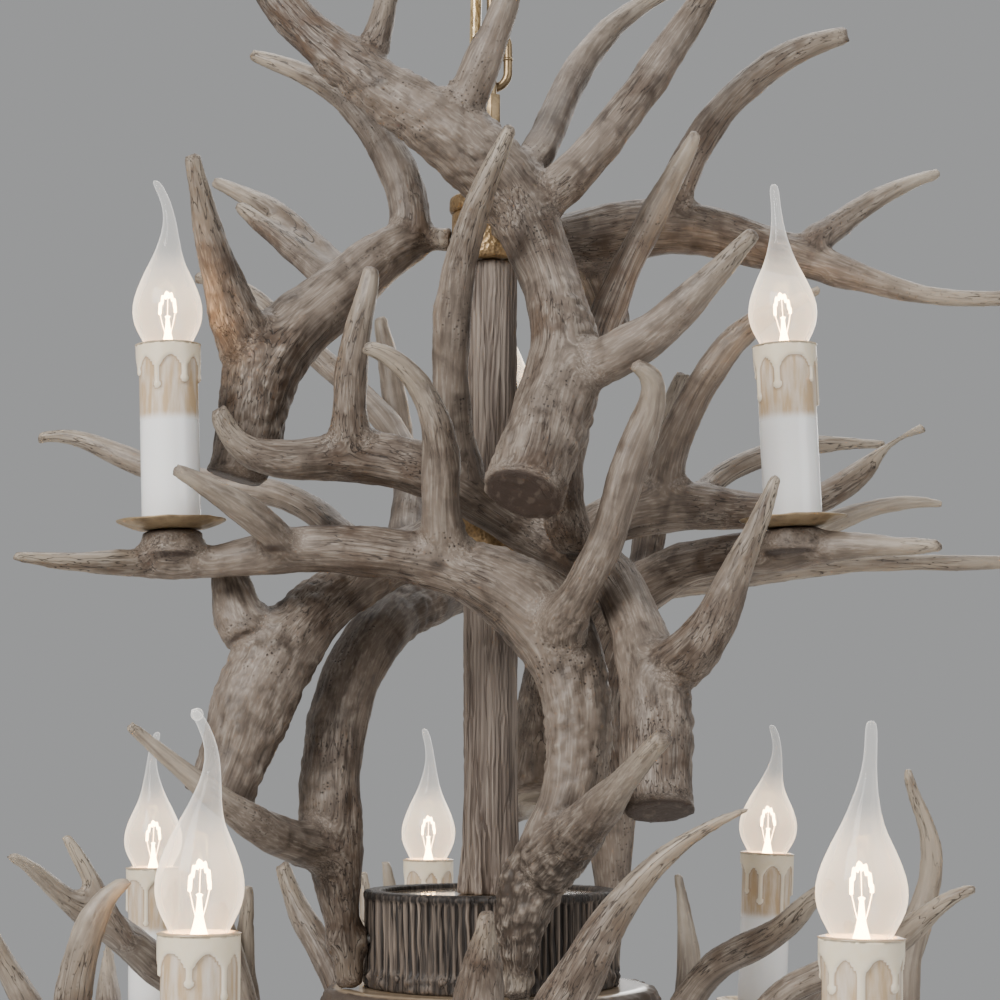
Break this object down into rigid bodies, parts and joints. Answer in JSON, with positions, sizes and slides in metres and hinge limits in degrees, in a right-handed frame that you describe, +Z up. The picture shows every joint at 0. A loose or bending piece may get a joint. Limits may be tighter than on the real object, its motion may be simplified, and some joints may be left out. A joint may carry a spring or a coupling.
{
  "type": "antler chandelier",
  "caption": "Candle-style chandelier of cast antlers in tiers around a bark column with a tree-stump drum, hung on a chain.",
  "frame": {"origin": "middle of the ceiling bracket's flat top face, midway between its two screw holes", "axes": "+X right as the viewer faces the light, +Y away from the viewer, +Z up into the ceiling"},
  "size_m": [0.8409, 0.8415, 0.9973],
  "materials": {
    "painted_steel": "antique tan gold, satin",
    "zinc_steel": "zinc plated",
    "insulator": "moulded insulator",
    "cord_plastic": "clear gold sheathed flex",
    "hammered_gold": "hammered tan gold paint",
    "bark": "cast bark, grey brown wash",
    "glossy_slice": "glossy pale wood slice",
    "antler": "cast antler, grey taupe with dark grooves",
    "candle": "ivory candle with dripped wax",
    "bulb_glass": "clear lamp glass"
  },
  "bodies": {
    "ceiling": {"ceiling_bracket": "painted_steel", "bracket_nipple": "zinc_steel", "nipple_lock_nut": "zinc_steel", "terminal_block": "insulator", "canopy": "painted_steel", "canopy_loop": "painted_steel"},
    "top_link": {"top_chain_link": "painted_steel"},
    "quick_nut": {"quick_link_nut": "zinc_steel"},
    "lamp_01": {"bulb_01": "bulb_glass"},
    "lamp_02": {"bulb_02": "bulb_glass"},
    "lamp_03": {"bulb_03": "bulb_glass"},
    "lamp_04": {"bulb_04": "bulb_glass"},
    "lamp_05": {"bulb_05": "bulb_glass"},
    "lamp_06": {"bulb_06": "bulb_glass"},
    "lamp_07": {"bulb_07": "bulb_glass"},
    "lamp_08": {"bulb_08": "bulb_glass"},
    "lamp_09": {"bulb_09": "bulb_glass"},
    "lamp_10": {"bulb_10": "bulb_glass"},
    "lamp_11": {"bulb_11": "bulb_glass"},
    "lamp_12": {"bulb_12": "bulb_glass"},
    "chandelier": {"chain_links": "painted_steel", "eye_loop": "painted_steel", "centre_tube": "zinc_steel", "tube_nuts": "zinc_steel", "antler_screws": "zinc_steel", "lamp_nipples": "zinc_steel", "quick_link": "zinc_steel", "lamp_holders": "insulator", "supply_cord": "cord_plastic", "inner_cable": "cord_plastic", "top_hub": "hammered_gold", "top_cap": "hammered_gold", "mid_hub": "hammered_gold", "lower_hub": "hammered_gold", "bottom_cover": "hammered_gold", "finial": "hammered_gold", "drip_pans": "hammered_gold", "column_sections": "bark", "stump": "bark", "slice_plate": "bark", "stump_disc": "glossy_slice", "antler_top_front": "antler", "antler_top_left": "antler", "antler_top_right": "antler", "antler_mid_front": "antler", "antler_mid_left": "antler", "antler_mid_right": "antler", "antler_stump_front": "antler", "antler_stump_right": "antler", "antler_stump_left": "antler", "antler_lower_1": "antler", "antler_lower_2": "antler", "antler_lower_3": "antler", "antler_lower_4": "antler", "antler_lower_5": "antler", "antler_lower_6": "antler", "antler_lower_7": "antler", "antler_lower_8": "antler", "antler_lower_9": "antler", "candle_sleeves": "candle"}
  },
  "joints": [
    {"name": "swing_sideways", "type": "hinge", "parent": "ceiling", "child": "top_link", "pos_m": [0, 0, -0.0666], "axis": [0, 1, 0], "range_deg": [-15, 15]},
    {"name": "swing_fore_aft", "type": "hinge", "parent": "top_link", "child": "chandelier", "pos_m": [0, 0, -0.09335], "axis": [1, 0, 0], "range_deg": [-15, 15], "deforming": ["supply_cord"]},
    {"name": "quick_link_nut_turn", "type": "hinge", "parent": "chandelier", "child": "quick_nut", "pos_m": [0, -0.0085, -0.32495], "axis": [0, 0, 1], "range_deg": [0, 1440]},
    {"name": "unscrew_bulb_01", "type": "hinge", "parent": "chandelier", "child": "lamp_01", "pos_m": [-0.16252, -0.07218, -0.56025], "axis": [-0.0332, 0, 0.9995], "range_deg": [0, 1080]},
    {"name": "unscrew_bulb_02", "type": "hinge", "parent": "chandelier", "child": "lamp_02", "pos_m": [0.15682, -0.05293, -0.55725], "axis": [-0.0384, 0, 0.9993], "range_deg": [0, 1080]},
    {"name": "unscrew_bulb_03", "type": "hinge", "parent": "chandelier", "child": "lamp_03", "pos_m": [0.0026, 0.15953, -0.55925], "axis": [0.0105, 0, 0.9999], "range_deg": [0, 1080]},
    {"name": "unscrew_bulb_04", "type": "hinge", "parent": "chandelier", "child": "lamp_04", "pos_m": [-0.1146, -0.32541, -0.83925], "axis": [0, 0, 1], "range_deg": [0, 1080]},
    {"name": "unscrew_bulb_05", "type": "hinge", "parent": "chandelier", "child": "lamp_05", "pos_m": [0.14161, -0.35586, -0.83875], "axis": [0.0209, 0, 0.9998], "range_deg": [0, 1080]},
    {"name": "unscrew_bulb_06", "type": "hinge", "parent": "chandelier", "child": "lamp_06", "pos_m": [0.30612, -0.16968, -0.83925], "axis": [0.014, 0, 0.9999], "range_deg": [0, 1080]},
    {"name": "unscrew_bulb_07", "type": "hinge", "parent": "chandelier", "child": "lamp_07", "pos_m": [0.33976, 0.05991, -0.83925], "axis": [-0.0175, 0, 0.9998], "range_deg": [0, 1080]},
    {"name": "unscrew_bulb_08", "type": "hinge", "parent": "chandelier", "child": "lamp_08", "pos_m": [0.16573, 0.21061, -0.83025], "axis": [0.0471, 0, 0.9989], "range_deg": [0, 1080]},
    {"name": "unscrew_bulb_09", "type": "hinge", "parent": "chandelier", "child": "lamp_09", "pos_m": [-0.04285, 0.32115, -0.83925], "axis": [0, 0, 1], "range_deg": [0, 1080]},
    {"name": "unscrew_bulb_10", "type": "hinge", "parent": "chandelier", "child": "lamp_10", "pos_m": [-0.20891, 0.21111, -0.83925], "axis": [-0.0105, 0, 0.9999], "range_deg": [0, 1080]},
    {"name": "unscrew_bulb_11", "type": "hinge", "parent": "chandelier", "child": "lamp_11", "pos_m": [-0.34164, 0.04801, -0.83925], "axis": [0.0209, 0, 0.9998], "range_deg": [0, 1080]},
    {"name": "unscrew_bulb_12", "type": "hinge", "parent": "chandelier", "child": "lamp_12", "pos_m": [-0.30001, -0.18026, -0.83925], "axis": [-0.0157, 0, 0.9999], "range_deg": [0, 1080]}
  ]
}
